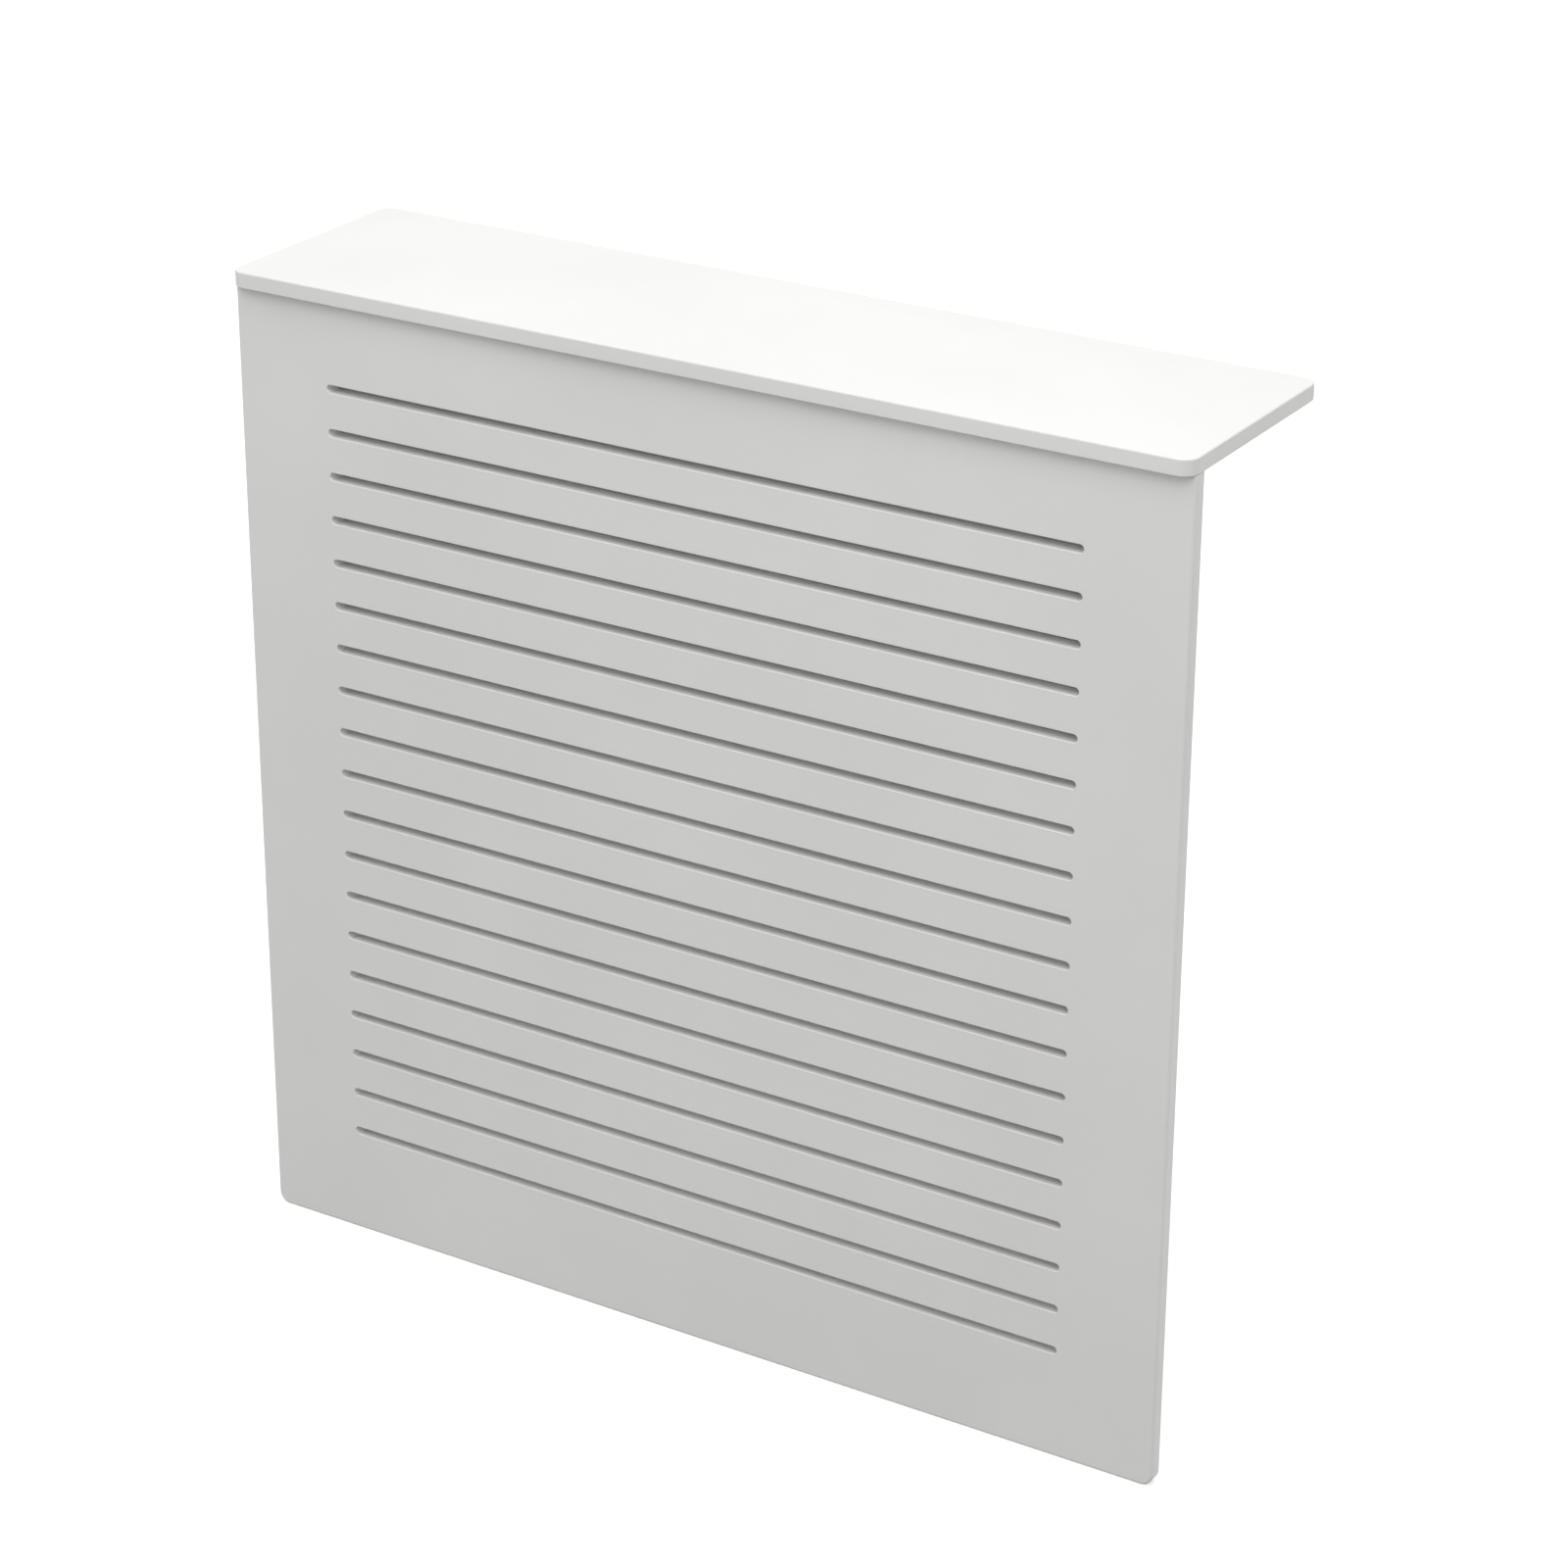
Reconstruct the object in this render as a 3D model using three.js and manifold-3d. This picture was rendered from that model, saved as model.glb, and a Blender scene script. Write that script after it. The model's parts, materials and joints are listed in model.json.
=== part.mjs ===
// Radiator cover: a slotted front panel under a top board. Dowels and pressed steel
// corner braces join the two boards, and three angle brackets hold the cover to the wall.
//
// Millimetres, +Z up. X runs along the wall with 0 at the middle, +Y points to the wall
// with 0 at half the depth, and Z = 0 is the floor.
import * as THREE from "three";
import { mergeVertices } from "three/addons/utils/BufferGeometryUtils.js";
import Module from "manifold-3d";

const wasm = await Module();
wasm.setup();

// ---------------------------------------------------------------- driving dimensions

// Top board
const boardLength = 1000;
const boardDepth = 248;
const boardThickness = 16;
const boardCornerRadius = 15; // seen from above
const boardEdgeRound = 1.5; // long edges, top and bottom

// Front panel, flush with the board's ends
const panelHeight = 982;
const panelThickness = 16;
const panelCornerRadius = 12; // two lower corners
const panelEdgeRound = 2.5;
const boardOverhang = 10; // board's front edge past the panel's face

// Slots routed through the panel
const slotHeight = 8;
const slotPitch = 43.6;
const slotSideMargin = 102; // panel's end to a slot's round end
const slotTopMargin = 85; // board's underside to the first slot's centre line
const slotBottomMargin = 100; // least room below the last slot's centre line
const slotEdgeChamfer = 0.5;

// Dowels between the panel's top edge and the board
const dowelRadius = 4;
const dowelInPanel = 19;
const dowelInBoard = 9;
const dowelEndChamfer = 1;
const dowelHoleClearance = 0.2; // on the radius
const dowelEndRoom = 1; // left at the bottom of each hole

// Corner braces, pressed from steel sheet
const braceCount = 4;
const braceEndMargin = 60; // board's end to the middle of the outer braces
const braceLeg = 40;
const braceWidth = 20;
const braceSheet = 2;
const braceInnerBend = 2;
const braceTipRadius = 4;
const braceTipToHole = 8;
const braceHolePitch = 15;
const braceRibReach = 14; // from the outer corner along each leg
const braceRibWidth = 7;

// Wall brackets
const bracketNames = ["left", "middle", "right"];
const bracketEndMargin = 170; // board's end to the middle of the outer brackets
const bracketLeg = 60;
const bracketWidth = 40;
const bracketSheet = 2.5;
const bracketInnerBend = 2.5;
const bracketTipRadius = 6;
const bracketHoleMargin = 9; // bracket's side to the middle of its holes and slots
const bracketTipToHole = 18;
const bracketTipToSlot = 22;
const bracketSlotLength = 12;
const bracketSlotWidth = 5.5; // for 5 mm wall screws
const bracketRibReach = 24;
const bracketRibWidth = 10;

// Pan-head screws, the same for braces and brackets
const screwLength = 12; // under the head
const screwThreadRadius = 2; // over the thread, which the solids leave out
const screwCoreRadius = 1.25; // under the thread
const screwTipLength = 3;
const screwHeadRadius = 4;
const screwHeadHeight = 2.6;
const screwHeadRim = 0.8; // upright part of the head's side
const screwHoleClearance = 0.25; // round the thread, in the sheet
const pilotClearance = 0.2; // round the core, in the boards
const pilotTipRoom = 1; // below the screw's tip

// Fineness of round forms
const arcDivisions = 4; // half the steps of each drawn arc
const edgeSteps = 3; // across a rounded edge
const turnSteps = 12; // around dowels, screws and holes
const domeSteps = 3; // up a screw head's dome

// How far a cutting tool runs past the face that it starts from
const toolOverrun = 1;

// ------------------------------------------------------------------ places that follow

const panelWidth = boardLength;
const boardUnderside = panelHeight;
const boardFront = -boardDepth / 2;
const wallPlane = boardDepth / 2;
const panelBack = boardFront + boardOverhang + panelThickness;
const panelMiddle = panelBack - panelThickness / 2;

const slotLength = panelWidth - 2 * slotSideMargin;
const slotRun = panelHeight - slotTopMargin - slotBottomMargin;
const slotCount = Math.floor(slotRun / slotPitch) + 1;

const braceHoleDistances = [
  braceLeg - braceTipToHole,
  braceLeg - braceTipToHole - braceHolePitch,
];
const bracketHoleDistance = bracketLeg - bracketTipToHole;
const bracketSlotDistance = bracketLeg - bracketTipToSlot;
const bracketHoleSide = bracketWidth / 2 - bracketHoleMargin;
const bracketSides = [-bracketHoleSide, bracketHoleSide];

const braceScrewGrip = screwLength - braceSheet;
const bracketScrewGrip = screwLength - bracketSheet;
const pilotRadius = screwCoreRadius + pilotClearance;
const screwHoleRadius = screwThreadRadius + screwHoleClearance;
const dowelHoleRadius = dowelRadius + dowelHoleClearance;

// `count` places along the board, the outer two `margin` from its ends.
function spreadAlongBoard(count, margin) {
  const run = boardLength - 2 * margin;
  return Array.from({ length: count }, (_, i) => (i / (count - 1) - 0.5) * run);
}

const braceXs = spreadAlongBoard(braceCount, braceEndMargin);
const bracketXs = spreadAlongBoard(bracketNames.length, bracketEndMargin);
// One dowel midway between each two braces, clear of their screws.
const dowelXs = braceXs.slice(1).map((x, i) => (x + braceXs[i]) / 2);

// ------------------------------------------------------------------------- materials

function whiteLacquer() {
  return new THREE.MeshStandardMaterial({ color: 0xf1f1ee, roughness: 0.45, flatShading: true });
}

function whitePowderCoat() {
  return new THREE.MeshStandardMaterial({ color: 0xe9e9e6, roughness: 0.55, flatShading: true });
}

function zincPlate() {
  return new THREE.MeshStandardMaterial({
    color: 0xb8bcc2,
    roughness: 0.35,
    metalness: 1,
    flatShading: true,
  });
}

function beech() {
  return new THREE.MeshStandardMaterial({ color: 0xc9a46e, roughness: 0.7, flatShading: true });
}

// --------------------------------------------------------------------- solids by hand

// A closed three.js geometry as a solid that can be joined and cut.
function solid(geometry) {
  const bare = geometry.clone();
  bare.deleteAttribute("normal");
  bare.deleteAttribute("uv");
  const merged = mergeVertices(bare);
  return new wasm.Manifold(
    new wasm.Mesh({
      numProp: 3,
      vertProperties: merged.attributes.position.array,
      triVerts: new Uint32Array(merged.index.array),
    }),
  );
}

function namedMesh(name, body, material) {
  const { vertProperties, triVerts } = body.getMesh();
  const geometry = new THREE.BufferGeometry();
  geometry.setAttribute("position", new THREE.BufferAttribute(vertProperties, 3));
  geometry.setIndex(new THREE.BufferAttribute(triVerts, 1));
  const mesh = new THREE.Mesh(geometry, material);
  mesh.name = name;
  return mesh;
}

// Outline drawn in X and Y, extruded from z = `from` to z = `to`.
function prism(shape, from, to) {
  const options = { depth: to - from, curveSegments: arcDivisions, bevelEnabled: false };
  return new THREE.ExtrudeGeometry(shape, options).translate(0, 0, from);
}

// Plate from z = 0 to z = `thickness` with its outline's edges rounded on both faces.
function roundedPlate(shape, thickness, round) {
  const options = {
    depth: thickness - 2 * round,
    curveSegments: arcDivisions,
    bevelThickness: round,
    bevelSize: round,
    bevelOffset: -round,
    bevelSegments: edgeSteps,
  };
  return new THREE.ExtrudeGeometry(shape, options).translate(0, 0, round);
}

// Turns what is drawn in X and Y upright: Y becomes Z, and the extrusion runs to -Y.
function upright(geometry) {
  return geometry.rotateX(Math.PI / 2);
}

// Turns a profile drawn in X and Y so that X becomes Y, Y becomes Z and it runs along X.
function profileAlongX(geometry) {
  const alongY = new THREE.Vector3(0, 1, 0);
  const alongZ = new THREE.Vector3(0, 0, 1);
  const alongX = new THREE.Vector3(1, 0, 0);
  return geometry.applyMatrix4(new THREE.Matrix4().makeBasis(alongY, alongZ, alongX));
}

function addCorner(shape, x, y, radius, startAngle) {
  if (radius > 0) {
    shape.absarc(x, y, radius, startAngle, startAngle + Math.PI / 2);
  } else {
    shape.lineTo(x, y);
  }
}

// Rectangle centred on x = 0 that stands on y = 0, with round lower and upper corners.
function roundedRectangle(width, height, lowerRadius, upperRadius) {
  const half = width / 2;
  const shape = new THREE.Shape();
  shape.moveTo(lowerRadius - half, 0);
  addCorner(shape, half - lowerRadius, lowerRadius, lowerRadius, -Math.PI / 2);
  addCorner(shape, half - upperRadius, height - upperRadius, upperRadius, 0);
  addCorner(shape, upperRadius - half, height - upperRadius, upperRadius, Math.PI / 2);
  addCorner(shape, lowerRadius - half, lowerRadius, lowerRadius, Math.PI);
  return shape;
}

// Slot with round ends, centred on the origin and long in X.
function slotOutline(length, width) {
  const radius = width / 2;
  const reach = length / 2 - radius;
  const shape = new THREE.Shape();
  shape.absarc(reach, 0, radius, -Math.PI / 2, Math.PI / 2);
  shape.absarc(-reach, 0, radius, Math.PI / 2, (3 * Math.PI) / 2);
  shape.closePath();
  return shape;
}

// Round bar or drill along Z.
function roundBar(radius, from, to) {
  const bar = new THREE.CylinderGeometry(radius, radius, to - from, turnSteps);
  return bar.rotateX(Math.PI / 2).translate(0, 0, (from + to) / 2);
}

// Turned piece along Z, from (radius, z) pairs that run from its lower end to its upper end.
function turned(pairs) {
  const points = pairs.map(([radius, z]) => new THREE.Vector2(radius, z));
  return new THREE.LatheGeometry(points, turnSteps).rotateX(Math.PI / 2);
}

function drill(body, geometry, x, y, z) {
  return body.subtract(solid(geometry.clone().translate(x, y, z)));
}

// ------------------------------------------------------------------------- top board

function topBoard() {
  const outline = roundedRectangle(boardLength, boardDepth, boardCornerRadius, boardCornerRadius);
  const blank = roundedPlate(outline, boardThickness, boardEdgeRound);
  let body = solid(blank.translate(0, boardFront, 0));
  const dowelDrill = roundBar(dowelHoleRadius, -toolOverrun, dowelInBoard + dowelEndRoom);
  for (const x of dowelXs) {
    body = drill(body, dowelDrill, x, panelMiddle, 0);
  }
  const bracePilot = roundBar(pilotRadius, -toolOverrun, braceScrewGrip + pilotTipRoom);
  for (const x of braceXs) {
    for (const distance of braceHoleDistances) {
      body = drill(body, bracePilot, x, panelBack + distance, 0);
    }
  }
  const bracketPilot = roundBar(pilotRadius, -toolOverrun, bracketScrewGrip + pilotTipRoom);
  for (const x of bracketXs) {
    for (const side of bracketSides) {
      body = drill(body, bracketPilot, x + side, wallPlane - bracketHoleDistance, 0);
    }
  }
  const mesh = namedMesh("top_board", body, whiteLacquer());
  mesh.position.z = boardUnderside;
  return mesh;
}

// ------------------------------------------------------------------------ front panel

// Widens a slot towards one face: full chamfer at z = 0, none at z = -slotEdgeChamfer.
function slotChamfer() {
  const options = {
    depth: toolOverrun,
    curveSegments: arcDivisions,
    bevelThickness: slotEdgeChamfer,
    bevelSize: slotEdgeChamfer,
    bevelSegments: 1,
  };
  return new THREE.ExtrudeGeometry(slotOutline(slotLength, slotHeight), options);
}

// Router path of one slot through a panel that lies from z = 0 to z = panelThickness.
function slotCutter() {
  const outline = slotOutline(slotLength, slotHeight);
  const straight = prism(outline, -toolOverrun, panelThickness + toolOverrun);
  const front = slotChamfer().translate(0, 0, panelThickness);
  const back = slotChamfer().rotateX(Math.PI);
  return solid(straight).add(solid(front)).add(solid(back));
}

// The panel lies on its back while it is cut, with its foot at y = 0.
function frontPanel() {
  const blankHeight = panelHeight + panelEdgeRound;
  const outline = roundedRectangle(panelWidth, blankHeight, panelCornerRadius, 0);
  let body = solid(roundedPlate(outline, panelThickness, panelEdgeRound));
  // The top edge is sawn off square, to seat under the board.
  const offcut = new THREE.BoxGeometry(
    panelWidth + 2 * toolOverrun,
    2 * panelEdgeRound,
    panelThickness + 2 * toolOverrun,
  );
  body = drill(body, offcut, 0, panelHeight + panelEdgeRound, panelThickness / 2);
  const cutter = slotCutter();
  for (let i = 0; i < slotCount; i++) {
    const height = panelHeight - slotTopMargin - i * slotPitch;
    body = body.subtract(cutter.translate([0, height, 0]));
  }
  const pilot = roundBar(pilotRadius, -toolOverrun, braceScrewGrip + pilotTipRoom);
  for (const x of braceXs) {
    for (const distance of braceHoleDistances) {
      body = drill(body, pilot, x, panelHeight - distance, 0);
    }
  }
  const dowelDepth = dowelInPanel + dowelEndRoom;
  const dowelDrill = roundBar(dowelHoleRadius, -dowelDepth, toolOverrun).rotateX(-Math.PI / 2);
  for (const x of dowelXs) {
    body = drill(body, dowelDrill, x, panelHeight, panelThickness / 2);
  }
  const mesh = namedMesh("front_panel", body, whiteLacquer());
  mesh.rotation.x = Math.PI / 2;
  mesh.position.y = panelBack;
  return mesh;
}

// ----------------------------------------------------------------------------- dowels

function dowel(index) {
  const from = -dowelInPanel;
  const to = dowelInBoard;
  const endRadius = dowelRadius - dowelEndChamfer;
  const bar = turned([
    [0, from],
    [endRadius, from],
    [dowelRadius, from + dowelEndChamfer],
    [dowelRadius, to - dowelEndChamfer],
    [endRadius, to],
    [0, to],
  ]);
  const mesh = namedMesh(`dowel_${index + 1}`, solid(bar), beech());
  mesh.position.set(dowelXs[index], panelMiddle, boardUnderside);
  return mesh;
}

// ----------------------------------------------------------------------------- screws

// Points up along +Z with its head's seat at z = 0 and its head below it.
function panHeadScrew(name) {
  const domeHeight = screwHeadHeight - screwHeadRim;
  const dome = Array.from({ length: domeSteps + 1 }, (_, i) => {
    const angle = (Math.PI / 2) * (1 - i / domeSteps);
    const radius = i === 0 ? 0 : screwHeadRadius * Math.cos(angle);
    return [radius, -screwHeadRim - domeHeight * Math.sin(angle)];
  });
  const bar = turned([
    ...dome,
    [screwHeadRadius, 0],
    [screwCoreRadius, 0],
    [screwCoreRadius, screwLength - screwTipLength],
    [0, screwLength],
  ]);
  return namedMesh(name, solid(bar), zincPlate());
}

// -------------------------------------------------------------------- angled hardware

// Section of a bent sheet, drawn in Y and Z: one leg along +Y, the other down -Z, with
// the outer faces on the axes.
function bentSection(leg, sheet, innerBend) {
  const outerBend = innerBend + sheet;
  const shape = new THREE.Shape();
  shape.moveTo(leg, 0);
  shape.lineTo(outerBend, 0);
  shape.absarc(outerBend, -outerBend, outerBend, Math.PI / 2, Math.PI);
  shape.lineTo(0, -leg);
  shape.lineTo(sheet, -leg);
  shape.absarc(outerBend, -outerBend, innerBend, Math.PI, Math.PI / 2, true);
  shape.lineTo(leg, -sheet);
  shape.closePath();
  return shape;
}

// Side of the rib that is pressed into the bend: a triangle with the bend's own corner.
function ribSection(reach, outerBend) {
  const shape = new THREE.Shape();
  shape.moveTo(reach, 0);
  shape.lineTo(outerBend, 0);
  shape.absarc(outerBend, -outerBend, outerBend, Math.PI / 2, Math.PI);
  shape.lineTo(0, -reach);
  shape.closePath();
  return shape;
}

// The hollow behind that rib, open through both outer faces.
function ribHollowSection(reach, sheet) {
  const hollowReach = reach - sheet * Math.SQRT2;
  const shape = new THREE.Shape();
  shape.moveTo(hollowReach + toolOverrun, toolOverrun);
  shape.lineTo(-toolOverrun, toolOverrun);
  shape.lineTo(-toolOverrun, -hollowReach - toolOverrun);
  shape.closePath();
  return shape;
}

// Bent, ribbed angle with equal legs and rounded tips, before its holes are cut.
function angleBlank({ leg, width, sheet, innerBend, tipRadius, ribReach, ribWidth }) {
  const acrossWidth = (shape, span) => solid(profileAlongX(prism(shape, -span / 2, span / 2)));
  const bent = acrossWidth(bentSection(leg, sheet, innerBend), width);
  const rib = acrossWidth(ribSection(ribReach, innerBend + sheet), ribWidth);
  const hollow = acrossWidth(ribHollowSection(ribReach, sheet), ribWidth - 2 * sheet);
  // Each tip outline trims one leg and passes the other by.
  const tip = roundedRectangle(width, leg + toolOverrun, 0, tipRadius);
  const tipAlongY = prism(tip, -leg - toolOverrun, toolOverrun).translate(0, -toolOverrun, 0);
  const tipDown = prism(tip, -toolOverrun, leg + toolOverrun).translate(0, -toolOverrun, 0);
  return bent
    .add(rib)
    .subtract(hollow)
    .intersect(solid(tipAlongY))
    .intersect(solid(tipDown.rotateX(-Math.PI / 2)));
}

// Corner brace and its four screws, placed where the panel's back meets the board.
function cornerJoint(index) {
  const name = `corner_brace_${index + 1}`;
  const throughSheet = roundBar(screwHoleRadius, -braceSheet - toolOverrun, toolOverrun);
  const throughUpright = upright(throughSheet.clone());
  let body = angleBlank({
    leg: braceLeg,
    width: braceWidth,
    sheet: braceSheet,
    innerBend: braceInnerBend,
    tipRadius: braceTipRadius,
    ribReach: braceRibReach,
    ribWidth: braceRibWidth,
  });
  const joint = new THREE.Group();
  braceHoleDistances.forEach((distance, i) => {
    body = drill(body, throughSheet, 0, distance, 0);
    body = drill(body, throughUpright, 0, 0, -distance);
    const boardScrew = panHeadScrew(`${name}_board_screw_${i + 1}`);
    boardScrew.position.set(0, distance, -braceSheet);
    const panelScrew = panHeadScrew(`${name}_panel_screw_${i + 1}`);
    panelScrew.rotation.x = Math.PI / 2;
    panelScrew.position.set(0, braceSheet, -distance);
    joint.add(boardScrew, panelScrew);
  });
  joint.add(namedMesh(name, body, zincPlate()));
  joint.position.set(braceXs[index], panelBack, boardUnderside);
  return joint;
}

// Wall bracket and its two board screws, placed where the wall meets the board.
function wallFixing(index) {
  const name = `wall_bracket_${bracketNames[index]}`;
  const throughSheet = roundBar(screwHoleRadius, -bracketSheet - toolOverrun, toolOverrun);
  const slot = slotOutline(bracketSlotLength, bracketSlotWidth);
  const flatSlot = prism(slot, -bracketSheet - toolOverrun, toolOverrun).rotateZ(Math.PI / 2);
  const uprightSlot = upright(flatSlot);
  let body = angleBlank({
    leg: bracketLeg,
    width: bracketWidth,
    sheet: bracketSheet,
    innerBend: bracketInnerBend,
    tipRadius: bracketTipRadius,
    ribReach: bracketRibReach,
    ribWidth: bracketRibWidth,
  });
  const fixing = new THREE.Group();
  bracketSides.forEach((side, i) => {
    body = drill(body, throughSheet, side, bracketHoleDistance, 0);
    body = drill(body, uprightSlot, side, 0, -bracketSlotDistance);
    const screw = panHeadScrew(`${name}_screw_${i + 1}`);
    screw.position.set(side, bracketHoleDistance, -bracketSheet);
    fixing.add(screw);
  });
  fixing.add(namedMesh(name, body, whitePowderCoat()));
  // Its upright leg faces the wall, so the whole fixing is turned round.
  fixing.rotation.z = Math.PI;
  fixing.position.set(bracketXs[index], wallPlane, boardUnderside);
  return fixing;
}

// --------------------------------------------------------------------------- assembly

const radiatorCover = new THREE.Group();
radiatorCover.add(topBoard(), frontPanel());
dowelXs.forEach((_, i) => radiatorCover.add(dowel(i)));
braceXs.forEach((_, i) => radiatorCover.add(cornerJoint(i)));
bracketXs.forEach((_, i) => radiatorCover.add(wallFixing(i)));

export default radiatorCover;
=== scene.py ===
# %% [markdown]
# # A white radiator cover
#
# This lesson dresses a slotted radiator cover for a studio picture. The part is already
# measured and packed, so its size and its joints are fixed. What is left is what a
# measured solid leaves out: soft edges, sprayed lacquer, pressed steel, screws with a
# thread and a cross recess, and the light that shows them.
#
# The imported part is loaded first. Every length below is in metres, in the same frame:
# X along the wall, Y towards the wall, Z up from the floor.

# %% Load the measured part
import json
import math

import bpy
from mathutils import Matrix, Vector


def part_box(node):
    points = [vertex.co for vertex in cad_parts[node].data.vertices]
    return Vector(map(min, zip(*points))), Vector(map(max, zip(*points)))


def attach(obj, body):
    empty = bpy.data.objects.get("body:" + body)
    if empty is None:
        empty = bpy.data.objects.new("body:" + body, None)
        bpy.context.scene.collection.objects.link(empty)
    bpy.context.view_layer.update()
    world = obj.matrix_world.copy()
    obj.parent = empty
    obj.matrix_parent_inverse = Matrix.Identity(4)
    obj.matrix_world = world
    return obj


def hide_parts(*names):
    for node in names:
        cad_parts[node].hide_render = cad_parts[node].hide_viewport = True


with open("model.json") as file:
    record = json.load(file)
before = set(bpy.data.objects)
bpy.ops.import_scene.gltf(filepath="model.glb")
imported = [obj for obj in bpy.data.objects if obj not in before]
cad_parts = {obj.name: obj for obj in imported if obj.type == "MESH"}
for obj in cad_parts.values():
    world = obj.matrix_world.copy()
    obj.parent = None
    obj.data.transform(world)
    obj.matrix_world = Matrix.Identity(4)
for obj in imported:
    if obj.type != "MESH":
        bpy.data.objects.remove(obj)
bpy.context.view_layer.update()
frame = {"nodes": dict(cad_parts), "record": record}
MM = 0.001

print("nodes:", len(frame["nodes"]))

# %% [markdown]
# The camera comes first, because everything after it is seen in its picture. A
# photographer stood to the right of the cover and above it, about four metres away with
# a long lens, so the boards' edges run almost parallel. The small shift stands for a
# picture that was cropped a little off the lens's middle. A long lens far away and a
# short lens close by can frame a thing alike, but only one of them gives these angles.

# %% Camera
SENSOR = 36.0
PICTURE_SIDE = 1600
FOCAL_PIXELS = 4362.5

bpy.ops.object.select_all(action="DESELECT")
bpy.ops.object.camera_add(
    location=(1.9335, -3.1269, 2.1845),
    rotation=[math.radians(a) for a in (66.710, 0.0, 31.979)],
)
camera = bpy.context.object
camera.data.sensor_width = SENSOR
camera.data.lens = FOCAL_PIXELS / PICTURE_SIDE * SENSOR
camera.data.shift_x = 0.0307
camera.data.shift_y = -0.0363
bpy.context.scene.camera = camera
print("lens in mm:", round(camera.data.lens, 1))

# %% [markdown]
# White lacquer is told from white paper only by soft shading, so the light is plain: an
# even sky from all round, and one wide softbox above and in front. A sun lamp with a
# wide angle would be as soft, but it shines alike on every height. A softbox under three
# metres up fades on its way down, so the panel's foot is a shade darker than its top, as
# it is in a real studio. It hangs in front, so the cover's shadow falls behind it.
#
# The sky lights the cover with a plain grey and shows itself as white. Light Path tells
# the two apart: rays from the camera, and mirrored or passed on by a surface, see white.

# %% Light
SKY_LEVEL = 0.90
SOFTBOX_SIDES = (2.4, 1.6)
SOFTBOX_WATTS = 18.0
SOFTBOX_PLACE = Vector((0.40, -1.35, 2.80))
SOFTBOX_AIM = Vector((0.0, -0.1, 0.8))


def seen_directly(nodes, links):
    """A socket that is 1 where a ray comes from the camera, a mirror or glass."""
    path = nodes.new("ShaderNodeLightPath")
    glossy = nodes.new("ShaderNodeMath")
    glossy.operation = "MAXIMUM"
    passed = nodes.new("ShaderNodeMath")
    passed.operation = "MAXIMUM"
    links.new(path.outputs["Is Camera Ray"], glossy.inputs[0])
    links.new(path.outputs["Is Glossy Ray"], glossy.inputs[1])
    links.new(glossy.outputs[0], passed.inputs[0])
    links.new(path.outputs["Is Transmission Ray"], passed.inputs[1])
    return passed.outputs[0]


sky = bpy.data.worlds.new("studio_sky")
bpy.context.scene.world = sky
sky.use_nodes = True
sky_nodes, sky_links = sky.node_tree.nodes, sky.node_tree.links
sky_nodes.clear()
sky_out = sky_nodes.new("ShaderNodeOutputWorld")
sky_glow = sky_nodes.new("ShaderNodeBackground")
sky_mix = sky_nodes.new("ShaderNodeMix")
sky_mix.data_type = "RGBA"
sky_mix.inputs["A"].default_value = (SKY_LEVEL, SKY_LEVEL, SKY_LEVEL, 1)
sky_mix.inputs["B"].default_value = (1, 1, 1, 1)
sky_links.new(seen_directly(sky_nodes, sky_links), sky_mix.inputs["Factor"])
sky_links.new(sky_mix.outputs["Result"], sky_glow.inputs["Color"])
sky_links.new(sky_glow.outputs[0], sky_out.inputs["Surface"])

towards_cover = SOFTBOX_AIM - SOFTBOX_PLACE
bpy.ops.object.select_all(action="DESELECT")
bpy.ops.object.light_add(
    type="AREA",
    location=SOFTBOX_PLACE,
    rotation=towards_cover.to_track_quat("-Z", "Y").to_euler(),
)
softbox = bpy.context.object
softbox.name = "softbox"
softbox.data.shape = "RECTANGLE"
softbox.data.size, softbox.data.size_y = SOFTBOX_SIDES
softbox.data.energy = SOFTBOX_WATTS
bpy.context.scene.view_settings.view_transform = "Standard"
height = math.degrees(math.asin(-towards_cover.normalized().z))
print("softbox:", round(towards_cover.length, 2), "m away,", round(height), "degrees up")

# %% [markdown]
# The floor is a plain sheet of studio paper, wide enough to fill the picture from every
# side. It keeps the cover's shadow. To the camera it is white, and to light that bounces
# off it it is grey, so that the panel isn't lit from below as it would be over a mirror
# of snow. The same Light Path trick does both.

# %% Floor
FLOOR_SIDE = 80.0
PAPER_WHITE = 0.9
PAPER_BOUNCE = 0.15
PAPER_GLOW = 0.42

bpy.ops.object.select_all(action="DESELECT")
bpy.ops.mesh.primitive_plane_add(size=FLOOR_SIDE, location=(0, 0, 0))
floor = bpy.context.object
floor.name = "studio_floor"
paper = bpy.data.materials.new("studio_paper")
paper.use_nodes = True
paper_nodes, paper_links = paper.node_tree.nodes, paper.node_tree.links
paper_shader = paper_nodes["Principled BSDF"]
paper_shader.inputs["Roughness"].default_value = 1.0
paper_shader.inputs["Specular IOR Level"].default_value = 0.0
paper_shader.inputs["Emission Strength"].default_value = 1.0
seen = seen_directly(paper_nodes, paper_links)
for socket, plain, shown in (
    ("Base Color", PAPER_BOUNCE, PAPER_WHITE),
    ("Emission Color", 0.0, PAPER_GLOW),
):
    mix = paper_nodes.new("ShaderNodeMix")
    mix.data_type = "RGBA"
    mix.inputs["A"].default_value = (plain, plain, plain, 1)
    mix.inputs["B"].default_value = (shown, shown, shown, 1)
    paper_links.new(seen, mix.inputs["Factor"])
    paper_links.new(mix.outputs["Result"], paper_shader.inputs[socket])
floor.data.materials.append(paper)
print("floor side in m:", FLOOR_SIDE)

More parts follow.
